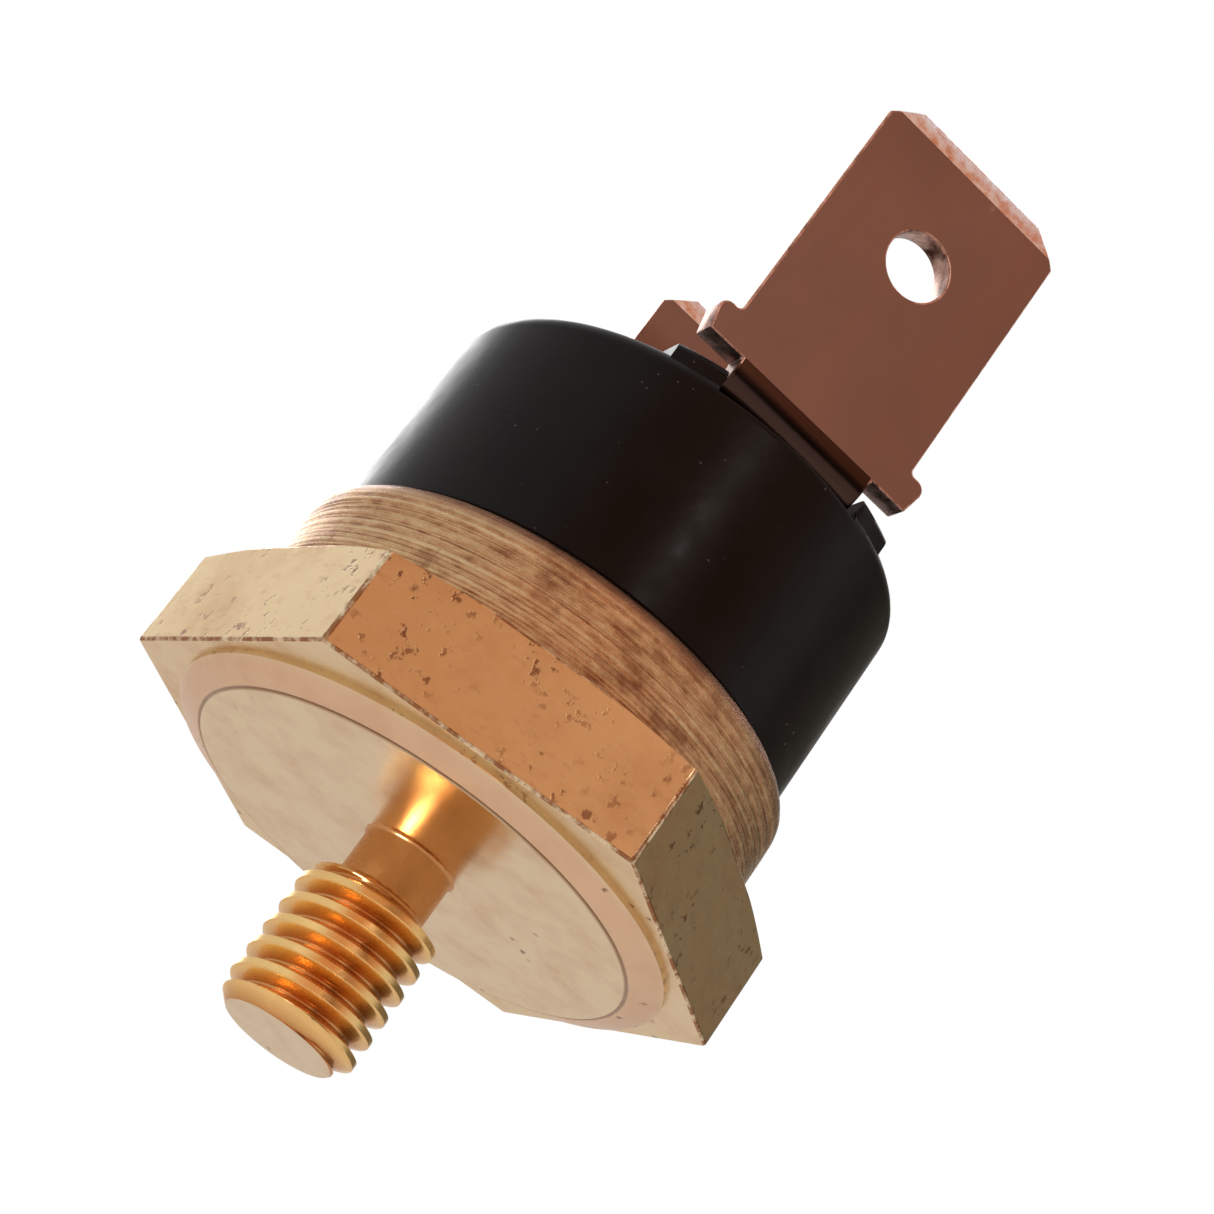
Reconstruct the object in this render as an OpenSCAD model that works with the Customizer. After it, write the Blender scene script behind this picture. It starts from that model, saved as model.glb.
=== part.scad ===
// Stud-mounted snap-disc switch: a brass hexagon with an M4 stud carries a bimetal disc, and a
// phenolic case above it holds one pair of contacts that the disc opens through a ceramic pin.
// Units are millimetres. The origin is the centre of the seat face at the root of the stud,
// with +Z running from the seat towards the terminals.

/* [Hexagon and seat] */
// Width across the flats of the hexagon
hex_flats = 15.6; // [14.4:0.1:19]
// Angle that the hexagon has come to rest at, against the terminals
hex_turn = 43.3; // [0:0.1:60]
// Height from the seat face to the underside of the hexagon
hex_lift = 0.55; // [0.3:0.05:0.9]
// Height from the seat face to the top of the hexagon
hex_top = 3.75; // [3.6:0.05:5.5]
// Diameter of the flat seat face
seat_d = 13.2; // [8:0.1:14.4]
// Angle of the bevel that rises from the seat face
seat_bevel_angle = 22; // [10:1:45]
// Height of the bevel round the seat face
seat_bevel_h = 0.36; // [0.1:0.01:0.5]
// Angle of the turned chamfer on the upper corners of the hexagon
corner_chamfer_angle = 15; // [5:1:35]

/* [Stud] */
// Thread diameter of the stud
stud_d = 4; // [4:0.5:6]
// Length of the stud below the seat face
stud_len = 5.8; // [4:0.1:12]
// Diameter of the plain neck between the seat face and the thread
neck_d = 2.6; // [2.4:0.1:3.4]
// Length of the neck
neck_len = 1.6; // [1:0.1:2.5]
// Length of the shoulder between the neck and the thread
neck_shoulder = 0.25; // [0.1:0.05:0.6]
// Width of the dished ring round the root of the stud, outside the thread's own radius
root_margin = 0.1; // [0.05:0.05:0.5]
// Depth of that dished ring, so that a plate seats on the flat face alone
root_dish = 0.05; // [0.02:0.01:0.1]
// Chamfer at the tip of the stud
stud_tip = 0.4; // [0.2:0.05:0.6]

/* [Crimped collar] */
// Outside diameter of the collar
collar_d = 15; // [14.6:0.1:18]
// Wall of the collar
collar_wall = 0.5; // [0.4:0.05:1]
// Height from the hexagon to the underside of the crimped lip
collar_h = 2.12; // [1.8:0.01:4]
// Thickness of the crimped lip
lip_t = 0.62; // [0.4:0.02:0.9]
// How far the lip reaches inwards past the bore of the collar
lip_reach = 0.36; // [0.2:0.02:0.6]

/* [Bimetal disc] */
// Diameter of the snap disc
disc_d = 12; // [10:0.1:12.6]
// Thickness of the snap disc
disc_t = 0.2; // [0.15:0.01:0.3]
// Travel of the middle of the disc as it snaps over
disc_travel = 0.36; // [0.2:0.01:0.45]
// Depth of the disc's ledge below the top of the hexagon
disc_ledge_depth = 0.6; // [0.5:0.05:1]
// Width of the ledge that the rim of the disc rests on
disc_ledge_w = 0.5; // [0.3:0.05:0.8]
// Depth of the pocket under the ledge
pocket_depth = 0.45; // [0.3:0.05:0.8]
// Radial play of the disc in its pocket
disc_play = 0.1; // [0.05:0.01:0.2]

/* [Guide plate and pin] */
// Thickness of the insulating guide plate
guide_t = 0.9; // [0.7:0.05:1.5]
// Height of the guide collar above the plate
guide_collar_h = 0.6; // [0.3:0.05:0.9]
// Outside diameter of the guide collar
guide_collar_d = 3.6; // [3.2:0.1:4.4]
// Axial play of the disc rim under the guide plate
disc_rim_play = 0.1; // [0.05:0.01:0.2]
// Diameter of the transfer pin
pin_d = 2; // [1.4:0.1:2.4]
// Radial clearance of the pin in the guide plate
pin_fit = 0.05; // [0.02:0.01:0.1]
// Radius of the crown on the pin
pin_crown_r = 1.2; // [1.2:0.05:2]

/* [Body case] */
// Outside diameter of the case
case_d = 13.86; // [13:0.02:17]
// Height from the seat face to the top of the case
case_top = 13; // [12:0.1:18]
// Inside diameter of the contact chamber
chamber_d = 11.4; // [11:0.1:12.6]
// Thickness of the roof under the terminal channel
roof_t = 3; // [2:0.1:4]
// Rounding of the top edge of the case
case_round = 0.5; // [0.2:0.05:0.8]
// Depth of the terminal channel in the top of the case
channel_depth = 0.4; // [0.2:0.05:0.8]
// Side clearance of a terminal foot in the channel
channel_fit = 0.1; // [0.05:0.01:0.3]
// Width of the ribs that stop the terminals turning
rib_w = 1.35; // [0.8:0.05:2]
// Height of the ribs above the top of the case
rib_h = 0.4; // [0.2:0.05:0.8]
// Radial clearance of the case in the bore of the collar
case_fit = 0.03; // [0.02:0.01:0.1]

/* [Terminals] */
// Thickness of both terminals
tab_t = 0.8; // [0.5:0.1:1]
// Distance from the axis to the outer face of each terminal
tab_face_y = 6.12; // [5.8:0.02:6.4]
// Outside radius of the bend between foot and neck
bend_r = 1.25; // [1:0.05:1.6]
// Distance from the axis to the inner end of each foot
foot_end_y = 1.35; // [1:0.05:1.6]
// Width of the feet, of the necks and of the narrow terminal
foot_w = 4.75; // [4.4:0.05:5]
// Width of the wide terminal's blade
wide_w = 6.3; // [5.5:0.1:6.3]
// Width across the shoulders of the wide terminal
shoulder_w = 7.45; // [6.8:0.05:8]
// Height of the shoulders
shoulder_h = 1; // [0.6:0.05:1.5]
// Gap between the top of the case and the shoulders
shoulder_gap = 1; // [0.6:0.05:1.5]
// Length of the wide blade above its shoulders
wide_len = 8.55; // [7:0.05:10]
// Diameter of the hole in the wide blade
wide_hole_d = 1.95; // [1.4:0.05:2.2]
// Distance from the tip to the hole in the wide blade
wide_hole_in = 3.83; // [3:0.01:4.5]
// Length of the narrow blade above the top of the case
narrow_len = 8.1; // [6.5:0.05:10]
// Diameter of the hole in the narrow blade
narrow_hole_d = 1.4; // [1:0.05:1.8]
// Distance from the tip to the hole in the narrow blade
narrow_hole_in = 3.2; // [2.5:0.01:4]
// Corner chamfer at the tip of each blade
tip_corner = 0.9; // [0.4:0.05:1.2]
// Length of the lead-in bevels on the blades
lead_len = 0.7; // [0.4:0.05:1.2]
// Depth of each lead-in bevel
lead_depth = 0.25; // [0.1:0.01:0.3]

/* [Rivets] */
// Shank diameter of the terminal rivets
rivet_d = 2.2; // [1.8:0.1:2.4]
// Bore of the hollow terminal rivets
rivet_bore_d = 1.2; // [0.8:0.1:1.4]
// Distance from the axis to each rivet
rivet_y = 3.3; // [3.2:0.05:3.4]
// Head diameter of the terminal rivets
rivet_head_d = 3.4; // [3:0.1:3.8]
// Height of the heads of the terminal rivets
rivet_head_h = 0.5; // [0.3:0.05:0.6]
// Radial clearance round the rivet shanks
rivet_fit = 0.03; // [0.02:0.01:0.08]

/* [Contacts] */
// Height from the guide plate to the underside of the contact arm
arm_height = 2.25; // [2.1:0.05:2.6]
// Thickness of the contact arm
arm_t = 0.2; // [0.1:0.02:0.3]
// Width of the contact arm
arm_w = 3; // [2.4:0.1:3.4]
// Distance from the axis to the line where the arm bends
arm_bend_y = 1.7; // [1.5:0.05:1.8]
// Distance from the axis to the free tip of the arm
arm_tip_y = 3.9; // [3.6:0.05:4.2]
// Distance from the axis to the contacts
contact_y = 2.8; // [2.6:0.05:3]
// Diameter of the contact faces
contact_d = 1.8; // [1.4:0.1:2]
// Height of each contact's head
contact_h = 0.45; // [0.3:0.05:0.5]
// Shank diameter of the contacts
contact_shank_d = 0.9; // [0.6:0.1:1.2]
// Gap left between faces that touch on different moving pieces
touch_gap = 0.01; // [0.01:0.01:0.03]
// Thickness of the fixed contact's bracket
bracket_t = 0.4; // [0.3:0.05:0.5]
// Width of the bracket along the terminals' line
bracket_w = 3; // [2.8:0.05:3.1]
// Distance from the axis to the outer side of the bracket's leg
bracket_leg_x = 2.8; // [2.6:0.05:2.9]

/* [Hidden] */
$fn = 96;
eps = 0.01;

// Hexagon, collar and cup
hex_corner_r = hex_flats / sqrt(3);
chamfer_drop = (hex_corner_r - hex_flats / 2) * tan(corner_chamfer_angle);
seat_edge_r = seat_d / 2 + seat_bevel_h / tan(seat_bevel_angle);
bore_r = collar_d / 2 - collar_wall;
lip_z = hex_top + collar_h;
lip_top = lip_z + lip_t;
lip_r = bore_r - lip_reach;
ledge_z = hex_top - disc_ledge_depth;
pocket_r = disc_d / 2 + disc_play;
ledge_in_r = pocket_r - disc_play - disc_ledge_w;
pocket_z = ledge_z - pocket_depth;

// Disc, guide plate and pin
guide_top = hex_top + guide_t;
disc_sag = disc_travel / 2;
disc_z = ledge_z - dome_z(ledge_in_r);
disc_crown_z = disc_z + disc_t - disc_sag;
arm_z = guide_top + arm_height;
pin_z0 = disc_crown_z + touch_gap;
pin_z1 = arm_z - touch_gap;

// Case and terminals
case_r = case_d / 2;
chamber_r = chamber_d / 2;
channel_z = case_top - channel_depth;
channel_w = foot_w + 2 * channel_fit;
roof_z = channel_z - roof_t;
foot_top = channel_z + tab_t;
neck_top = case_top + shoulder_gap;
wide_top = neck_top + shoulder_h + wide_len;
narrow_top = case_top + narrow_len;
rivet_hole_d = rivet_d + 2 * rivet_fit;

// Contacts, from the arm down to the bracket
arm_top = arm_z + arm_t;
contact_face_z = arm_z - contact_h;
fixed_top = contact_face_z - touch_gap;
bracket_z = fixed_top - contact_h;
contact_hole_d = contact_shank_d + 2 * rivet_fit;
contact_upset = 0.12;
arm_root_gap = 0.02;
block_w = rivet_head_d + 0.6;

// A tube between two heights
module ring(r_out, r_in, z0, z1) {
    translate([0, 0, z0]) difference() {
        cylinder(h = z1 - z0, r = r_out);
        translate([0, 0, -1]) cylinder(h = z1 - z0 + 2, r = r_in);
    }
}

// A blind or through hole between two heights
module bore(d, z0, z1, x = 0, y = 0) {
    translate([x, y, z0]) cylinder(h = z1 - z0, d = d, $fn = 48);
}

// The profile of a domed disc, which sinks by its sag at the middle
function dome_z(r) = -disc_sag * (1 - pow(2 * r / disc_d, 2));
module dome_profile(steps = 8) {
    half = disc_d / 2;
    under = [for (i = [0:steps]) [half * i / steps, dome_z(half * i / steps)]];
    over = [for (i = [steps:-1:0]) [half * i / steps, dome_z(half * i / steps) + disc_t]];
    polygon(concat(under, over));
}

// Hexagonal prism whose upper corners are turned to a shallow cone
module chamfered_hexagon() {
    cone_r = hex_corner_r + 1;
    drop = (cone_r - hex_flats / 2) * tan(corner_chamfer_angle);
    intersection() {
        translate([0, 0, hex_lift]) rotate(hex_turn)
            cylinder(h = hex_top - hex_lift, r = hex_corner_r, $fn = 6);
        rotate_extrude() polygon([[0, hex_lift - 1], [cone_r, hex_lift - 1],
            [cone_r, hex_top - drop], [hex_flats / 2, hex_top], [0, hex_top]]);
    }
}

// Stud, seat and collar are turned, so one outline goes round the axis
module turned_outline() {
    r = stud_d / 2;
    neck_r = neck_d / 2;
    rotate_extrude() polygon([
        [0, -stud_len], [r - stud_tip, -stud_len], [r, stud_tip - stud_len],
        [r, -neck_len], [neck_r, neck_shoulder - neck_len], [neck_r, root_dish],
        [r + root_margin, 0], [seat_d / 2, 0], [seat_edge_r, seat_bevel_h], [seat_edge_r, hex_lift + eps],
        [seat_edge_r - eps, hex_top - eps], [collar_d / 2, hex_top - eps], [collar_d / 2, lip_z],
        [0, lip_z]]);
}

// The collar's end, rolled inwards over the case with a rounded outside
module crimped_lip() {
    rotate_extrude() difference() {
        intersection() {
            translate([lip_r, lip_z]) square([collar_d / 2 - lip_r, lip_t]);
            translate([collar_d / 2 - lip_t, lip_z]) union() {
                circle(r = lip_t);
                translate([-lip_t, 0]) square([lip_t, lip_t]);
            }
        }
        translate([lip_r - eps, lip_z - eps]) square([eps, lip_t + 2 * eps]);
    }
}

module hex_base() {
    color("goldenrod") {
        difference() {
            union() {
                chamfered_hexagon();
                turned_outline();
            }
            bore(2 * bore_r, hex_top, lip_z + 1);
            bore(2 * pocket_r, ledge_z, hex_top + eps);
            bore(2 * ledge_in_r, pocket_z, ledge_z + eps);
        }
        crimped_lip();
    }
}

// The dome hangs from the inner edge of its ledge
module bimetal_disc() {
    color("silver") translate([0, 0, disc_z]) rotate_extrude() dome_profile();
}

// Insulating plate whose lower ring keeps the disc in its pocket and whose collar guides the pin
module guide_plate() {
    rim_z = disc_z + disc_t + disc_rim_play;
    color("tan") difference() {
        union() {
            bore(2 * (bore_r - case_fit), hex_top, guide_top);
            bore(guide_collar_d, guide_top - eps, guide_top + guide_collar_h);
            ring(pocket_r - disc_play / 2, ledge_in_r, rim_z, hex_top + eps);
        }
        bore(pin_d + 2 * pin_fit, hex_top - 1, guide_top + guide_collar_h + 1);
    }
}

// Ceramic pin with a crowned top
module transfer_pin() {
    color("white") intersection() {
        bore(pin_d, pin_z0, pin_z1);
        translate([0, 0, pin_z1 - pin_crown_r]) union() {
            sphere(r = pin_crown_r, $fn = 64);
            translate([0, 0, -20]) cylinder(h = 20, r = pin_crown_r, $fn = 64);
        }
    }
}

// Turned outline of the case: flange, waist under the lip and rounded barrel
module case_outline() {
    flange_r = bore_r - case_fit;
    waist_r = lip_r - case_fit;
    barrel_z = lip_top + case_fit;
    rotate_extrude() union() {
        translate([0, guide_top]) square([flange_r, lip_z - case_fit - guide_top]);
        translate([0, guide_top]) square([waist_r, barrel_z - guide_top + eps]);
        translate([0, barrel_z]) square([case_r, case_top - case_round - barrel_z]);
        translate([0, barrel_z]) square([case_r - case_round, case_top - barrel_z]);
        translate([case_r - case_round, case_top - case_round]) circle(r = case_round, $fn = 48);
    }
}

// Ribs along both sides of the channel, with rounded ends that follow the case
module terminal_ribs() {
    for (side = [-1, 1]) intersection() {
        translate([side * (channel_w + rib_w) / 2, 0, case_top - 1 + rib_h / 2 + 0.5])
            cube([rib_w, case_d, rib_h + 1], center = true);
        bore(2 * (case_r - 0.1), case_top - 1, case_top + rib_h + 1);
    }
}

module body_case() {
    color("#1c1718") difference() {
        union() {
            difference() {
                union() {
                    case_outline();
                    terminal_ribs();
                }
                bore(chamber_d, guide_top - 1, roof_z);
                translate([-channel_w / 2, -case_d, channel_z])
                    cube([channel_w, 2 * case_d, channel_depth + rib_h + 1]);
            }
            intersection() {
                translate([-block_w / 2, arm_bend_y + arm_root_gap, arm_top])
                    cube([block_w, case_d, roof_z - arm_top + eps]);
                bore(chamber_d + 0.4, arm_top, roof_z + eps);
            }
        }
        for (side = [-1, 1])
            bore(rivet_hole_d, arm_top - 1, channel_z + 1, y = side * rivet_y);
    }
}

// Foot, bend and neck of a terminal, drawn in the plane of the bend
module bend_profile(neck_z) {
    inner_r = bend_r - tab_t;
    corner = [tab_face_y - bend_r, channel_z + bend_r];
    translate([foot_end_y, channel_z]) square([corner[0] - foot_end_y, tab_t]);
    translate([tab_face_y - tab_t, corner[1]]) square([tab_t, neck_z - corner[1]]);
    intersection() {
        translate(corner) difference() {
            circle(r = bend_r, $fn = 64);
            circle(r = inner_r, $fn = 64);
        }
        translate([corner[0], channel_z]) square([bend_r, bend_r]);
    }
}

// Flat blade outline: width w up to height top, with its tip corners cut
module blade_outline(w, z0, top) {
    polygon([[-w / 2, z0], [w / 2, z0], [w / 2, top - tip_corner], [w / 2 - tip_corner, top],
             [tip_corner - w / 2, top], [-w / 2, top - tip_corner]]);
}

// Wedges that cut the lead-in bevels on both faces of the tip
module lead_in(top) {
    for (face = [[tab_face_y, 1], [tab_face_y - tab_t, -1]])
        rotate([90, 0, 90]) translate([0, 0, -wide_w]) linear_extrude(2 * wide_w)
            polygon([[face[0] + face[1] * eps, top - lead_len],
                     [face[0] + face[1] * eps, top + eps],
                     [face[0] - face[1] * lead_depth, top + eps]]);
}

// One terminal on the +Y side; shoulders are left out where their width is the foot's
module terminal(w, across, blade_z, top, hole_d, hole_in) {
    difference() {
        union() {
            rotate([90, 0, 90]) translate([0, 0, -foot_w / 2])
                linear_extrude(foot_w) bend_profile(blade_z + eps);
            translate([0, tab_face_y, 0]) rotate([90, 0, 0]) linear_extrude(tab_t) union() {
                blade_outline(w, blade_z, top);
                translate([-across / 2, blade_z]) square([across, shoulder_h]);
            }
        }
        lead_in(top);
        bore(rivet_hole_d, channel_z - 1, foot_top + 1, y = rivet_y);
        translate([0, tab_face_y + 1, top - hole_in]) rotate([90, 0, 0])
            cylinder(h = tab_t + 2, d = hole_d, $fn = 48);
    }
}

module front_terminal() {
    color("#7a4d3e") mirror([0, 1, 0])
        terminal(wide_w, shoulder_w, neck_top, wide_top, wide_hole_d, wide_hole_in);
}

module rear_terminal() {
    color("#7a4d3e")
        terminal(foot_w, foot_w, neck_top, narrow_top, narrow_hole_d, narrow_hole_in);
}

// Hollow rivet from the underside of its lower head to the top of its upper head
module hollow_rivet(y, grip_z) {
    difference() {
        union() {
            bore(rivet_d, grip_z - rivet_head_h, foot_top + rivet_head_h, y = y);
            bore(rivet_head_d, grip_z - rivet_head_h, grip_z, y = y);
            translate([0, y, foot_top]) cylinder(h = rivet_head_h, d1 = rivet_head_d,
                                                 d2 = rivet_head_d - rivet_head_h, $fn = 48);
        }
        bore(rivet_bore_d, grip_z - rivet_head_h - 1, foot_top + rivet_head_h + 1, y = y);
    }
}

module front_rivet() {
    color("silver") hollow_rivet(-rivet_y, roof_z - bracket_t);
}

module rear_rivet() {
    color("silver") hollow_rivet(rivet_y, arm_z);
}

// Bracket from the front rivet round the side of the arm to the place below its contact
module contact_bracket() {
    y0 = -rivet_y - bracket_w / 2;
    foot_x = -rivet_head_d / 2;
    h = roof_z - bracket_z;
    color("#b5793f") difference() {
        translate([0, y0 + bracket_w, bracket_z - bracket_t]) rotate([90, 0, 0])
            linear_extrude(bracket_w) difference() {
                translate([foot_x, 0]) square([bracket_leg_x - foot_x, h + bracket_t]);
                translate([foot_x - 1, bracket_t])
                    square([bracket_leg_x - bracket_t - foot_x + 1, h - bracket_t]);
            }
        bore(rivet_hole_d, roof_z - bracket_t - 1, roof_z + 1, y = -rivet_y);
        bore(contact_hole_d, bracket_z - bracket_t - 1, bracket_z + 1, y = -contact_y);
    }
}

// Riveted contact button that stands on its face: a head, a shank and an upset end
module contact_button(face_z, plate_t) {
    translate([0, -contact_y, face_z]) union() {
        cylinder(h = contact_h, d = contact_d, $fn = 48);
        cylinder(h = contact_h + plate_t + contact_upset, d = contact_shank_d, $fn = 48);
        translate([0, 0, contact_h + plate_t])
            cylinder(h = contact_upset, d = contact_shank_d + 0.4, $fn = 48);
    }
}

module fixed_contact() {
    color("lightgrey") mirror([0, 0, 1]) contact_button(-fixed_top, bracket_t);
}

module moving_contact() {
    color("lightgrey") contact_button(contact_face_z, arm_t);
}

// Clamped root of the contact leaf, between the case and the rear rivet's lower head
module arm_anchor() {
    color("#c98a4b") difference() {
        translate([-arm_w / 2, arm_bend_y + arm_root_gap, arm_z])
            cube([arm_w, rivet_y + rivet_head_d / 2 - arm_bend_y, arm_t]);
        bore(rivet_hole_d, arm_z - 1, arm_top + 1, y = rivet_y);
    }
}

// Free length of the contact leaf, with a round tip
module contact_arm() {
    tip_r = arm_w / 2;
    color("#c98a4b") translate([0, 0, arm_z]) difference() {
        linear_extrude(arm_t) union() {
            translate([-arm_w / 2, tip_r - arm_tip_y]) square([arm_w, arm_tip_y - tip_r + arm_bend_y]);
            translate([0, tip_r - arm_tip_y]) circle(r = tip_r, $fn = 64);
        }
        bore(contact_hole_d, -1, arm_t + 1, y = -contact_y);
    }
}

hex_base();
bimetal_disc();
guide_plate();
transfer_pin();
body_case();
front_terminal();
rear_terminal();
front_rivet();
rear_rivet();
contact_bracket();
fixed_contact();
arm_anchor();
contact_arm();
moving_contact();
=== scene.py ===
"""A stud-mounted snap-disc switch: brass hexagon and stud, crimped collar, black case, two spade
terminals and the disc, pin and contacts inside. Lengths are in metres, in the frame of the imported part."""

import math
import random
import bpy
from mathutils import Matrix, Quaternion, Vector


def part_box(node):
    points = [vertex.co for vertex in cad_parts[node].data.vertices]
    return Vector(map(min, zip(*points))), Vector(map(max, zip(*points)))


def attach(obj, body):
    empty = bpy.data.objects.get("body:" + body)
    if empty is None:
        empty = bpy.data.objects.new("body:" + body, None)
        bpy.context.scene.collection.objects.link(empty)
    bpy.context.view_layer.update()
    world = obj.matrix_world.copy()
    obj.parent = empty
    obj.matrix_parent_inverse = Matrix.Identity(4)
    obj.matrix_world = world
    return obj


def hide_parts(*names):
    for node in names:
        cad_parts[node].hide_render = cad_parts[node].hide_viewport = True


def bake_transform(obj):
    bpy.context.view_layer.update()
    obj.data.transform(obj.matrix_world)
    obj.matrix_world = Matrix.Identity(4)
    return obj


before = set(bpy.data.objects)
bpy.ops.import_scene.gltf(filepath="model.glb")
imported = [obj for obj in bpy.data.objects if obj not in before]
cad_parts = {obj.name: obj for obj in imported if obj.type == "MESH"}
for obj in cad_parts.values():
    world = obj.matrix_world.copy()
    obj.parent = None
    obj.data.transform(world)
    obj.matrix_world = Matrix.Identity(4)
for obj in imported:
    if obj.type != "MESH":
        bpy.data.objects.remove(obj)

bl_info = {
    "name": "Snap-disc switch",
    "version": (1, 0, 0),
    "blender": (4, 5, 0),
    "location": "View3D > Sidebar > Switch",
    "description": "Builds the visible pieces of a stud-mounted snap-disc switch",
    "category": "Object",
}

MM = 0.001
BASE_LOW, BASE_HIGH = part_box("hex_base")
CASE_LOW, CASE_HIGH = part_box("body_case")
FRONT_LOW, FRONT_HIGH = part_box("front_terminal")
REAR_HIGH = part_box("rear_terminal")[1]
DISC_LOW, DISC_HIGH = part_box("bimetal_disc")
PLATE_LOW, PLATE_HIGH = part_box("guide_plate")
PIN_LOW, PIN_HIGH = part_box("transfer_pin")
ARM_LOW, ARM_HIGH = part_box("contact_arm")
ANCHOR_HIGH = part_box("arm_anchor")[1]
BRACKET_LOW, BRACKET_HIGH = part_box("contact_bracket")
FIXED_LOW, FIXED_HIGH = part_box("fixed_contact")
MOVING_LOW, MOVING_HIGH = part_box("moving_contact")
RIVET_LOW, RIVET_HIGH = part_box("front_rivet")
REAR_RIVET_LOW, REAR_RIVET_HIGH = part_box("rear_rivet")


def length(label, about, millimetres):
    return bpy.props.FloatProperty(name=label, description=about, default=millimetres * MM,
                                   unit="LENGTH", precision=5)


def angle(label, about, degrees):
    return bpy.props.FloatProperty(name=label, description=about, default=math.radians(degrees),
                                   subtype="ANGLE")


def colour(label, about, default):
    return bpy.props.FloatVectorProperty(name=label, description=about, default=default, size=3,
                                         subtype="COLOR", min=0.0, max=1.0)


class SwitchSizes(bpy.types.PropertyGroup):
    hex_flats: length("Across flats", "Width across the flats of the hexagon", 15.6)
    hex_turn: angle("Hexagon turn", "Angle of one hexagon corner about the axis", 43.3)
    hex_lift: length("Hexagon underside", "Height of the hexagon's underside above the seat", 0.55)
    hex_top: length("Hexagon top", "Height of the hexagon's top face", 3.75)
    hex_round: length("Edge rounding", "Rounding of the hexagon's edges", 0.1)
    corner_cone: angle("Corner cone", "Angle of the turned chamfer on the upper corners", 15)
    seat_r: length("Seat radius", "Radius of the flat seat face", 6.6)
    seat_edge_r: length("Seat edge radius", "Radius where the seat's bevel ends", 7.49)
    seat_bevel_h: length("Seat bevel", "Height of the bevel round the seat", 0.36)
    stud_r: length("Thread radius", "Outside radius of the stud's thread", 1.99)
    thread_root_r: length("Thread root", "Radius at the root of the thread", 1.57)
    pitch: length("Pitch", "Pitch of the stud's thread", 0.7)
    neck_r: length("Neck radius", "Radius of the plain neck of the stud", 1.3)
    neck_len: length("Neck length", "Length of the plain neck of the stud", 1.6)
    neck_shoulder: length("Neck shoulder", "Height of the shoulder from neck to thread", 0.25)
    root_dish: length("Root dish", "Depth of the dished ring round the stud's root", 0.05)
    seat_line: length("Seat groove", "Depth of the fine groove round the flat of the seat", 0.05)
    stud_tip: length("Tip chamfer", "Chamfer at the tip of the stud", 0.4)
    collar_r: length("Collar radius", "Outside radius of the collar", 7.5)
    collar_wall: length("Collar wall", "Wall of the collar", 0.5)
    lip_z: length("Lip height", "Height of the underside of the rolled lip", 5.87)
    lip_r: length("Lip radius", "Inside radius of the rolled lip", 6.64)
    ledge_z: length("Disc ledge", "Height of the ledge under the disc's rim", 3.15)
    pocket_z: length("Pocket floor", "Height of the floor under the disc", 2.7)
    pocket_r: length("Pocket radius", "Radius of the pocket round the disc", 6.1)
    ledge_w: length("Ledge width", "Width of the ledge under the disc", 0.5)
    case_top: length("Case top", "Height of the top of the case", 13.0)
    case_round: length("Case rounding", "Rounding of the case's top edge", 0.55)
    chamber_r: length("Chamber radius", "Radius of the contact chamber", 5.7)
    roof_z: length("Roof height", "Height of the underside of the roof", 9.6)
    channel_z: length("Channel floor", "Height of the floor of the terminal channel", 12.6)
    channel_half: length("Channel half width", "Half the width of the terminal channel", 2.475)
    rib_w: length("Rib width", "Width of the ribs beside the channel", 1.35)
    tab_t: length("Tab thickness", "Thickness of the terminals", 0.8)
    bend_r: length("Bend radius", "Outside radius of the terminals' bend", 1.25)
    foot_w: length("Foot width", "Width of the terminals' feet", 4.75)
    foot_end: length("Foot end", "Distance from the axis to the end of a foot", 1.35)
    wide_w: length("Wide blade", "Width of the wide blade", 6.3)
    shoulder_z: length("Shoulder height", "Height of the underside of the shoulders", 14.0)
    shoulder_h: length("Shoulder depth", "Height of the shoulders themselves", 1.0)
    shoulder_round: length("Shoulder rounding", "Rounding of the shoulders' corners", 0.3)
    tip_corner: length("Tip corner", "Chamfer of the blades' tip corners", 0.9)
    lead_len: length("Lead-in length", "Length of the blades' lead-in bevels", 0.7)
    lead_depth: length("Lead-in depth", "Depth of the blades' lead-in bevels", 0.25)
    wide_hole_r: length("Wide blade hole", "Radius of the hole in the wide blade", 0.975)
    wide_hole_in: length("Wide hole place", "Distance of that hole from the tip", 3.83)
    narrow_hole_r: length("Narrow blade hole", "Radius of the hole in the narrow blade", 0.7)
    narrow_hole_in: length("Narrow hole place", "Distance of that hole from the tip", 3.2)
    rivet_y: length("Rivet place", "Distance from the axis to each rivet", 3.3)
    rivet_r: length("Rivet shank", "Radius of the rivets' shanks", 1.1)
    rivet_bore_r: length("Rivet bore", "Radius of the bore of the hollow rivets", 0.6)
    rivet_head_h: length("Rivet head", "Height of the rivets' heads", 0.5)
    contact_y: length("Contact place", "Distance from the axis to the contacts", 2.8)
    shank_r: length("Contact shank", "Radius of the contacts' shanks", 0.45)
    contact_face: length("Contact button", "Height of the contacts' buttons", 0.45)
    bracket_t: length("Bracket thickness", "Thickness of the contact bracket", 0.4)
    bracket_bend: length("Bracket bend", "Outside radius of the bracket's bends", 0.7)
    disc_t: length("Disc thickness", "Thickness of the snap disc", 0.2)
    pin_crown: length("Pin crown", "Radius of the pin's rounded end", 1.2)
    guide_hub_r: length("Guide hub", "Outside radius of the guide plate's hub", 1.8)
    fit_gap: length("Fit", "Clearance between pieces that fit into each other", 0.03)


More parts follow.
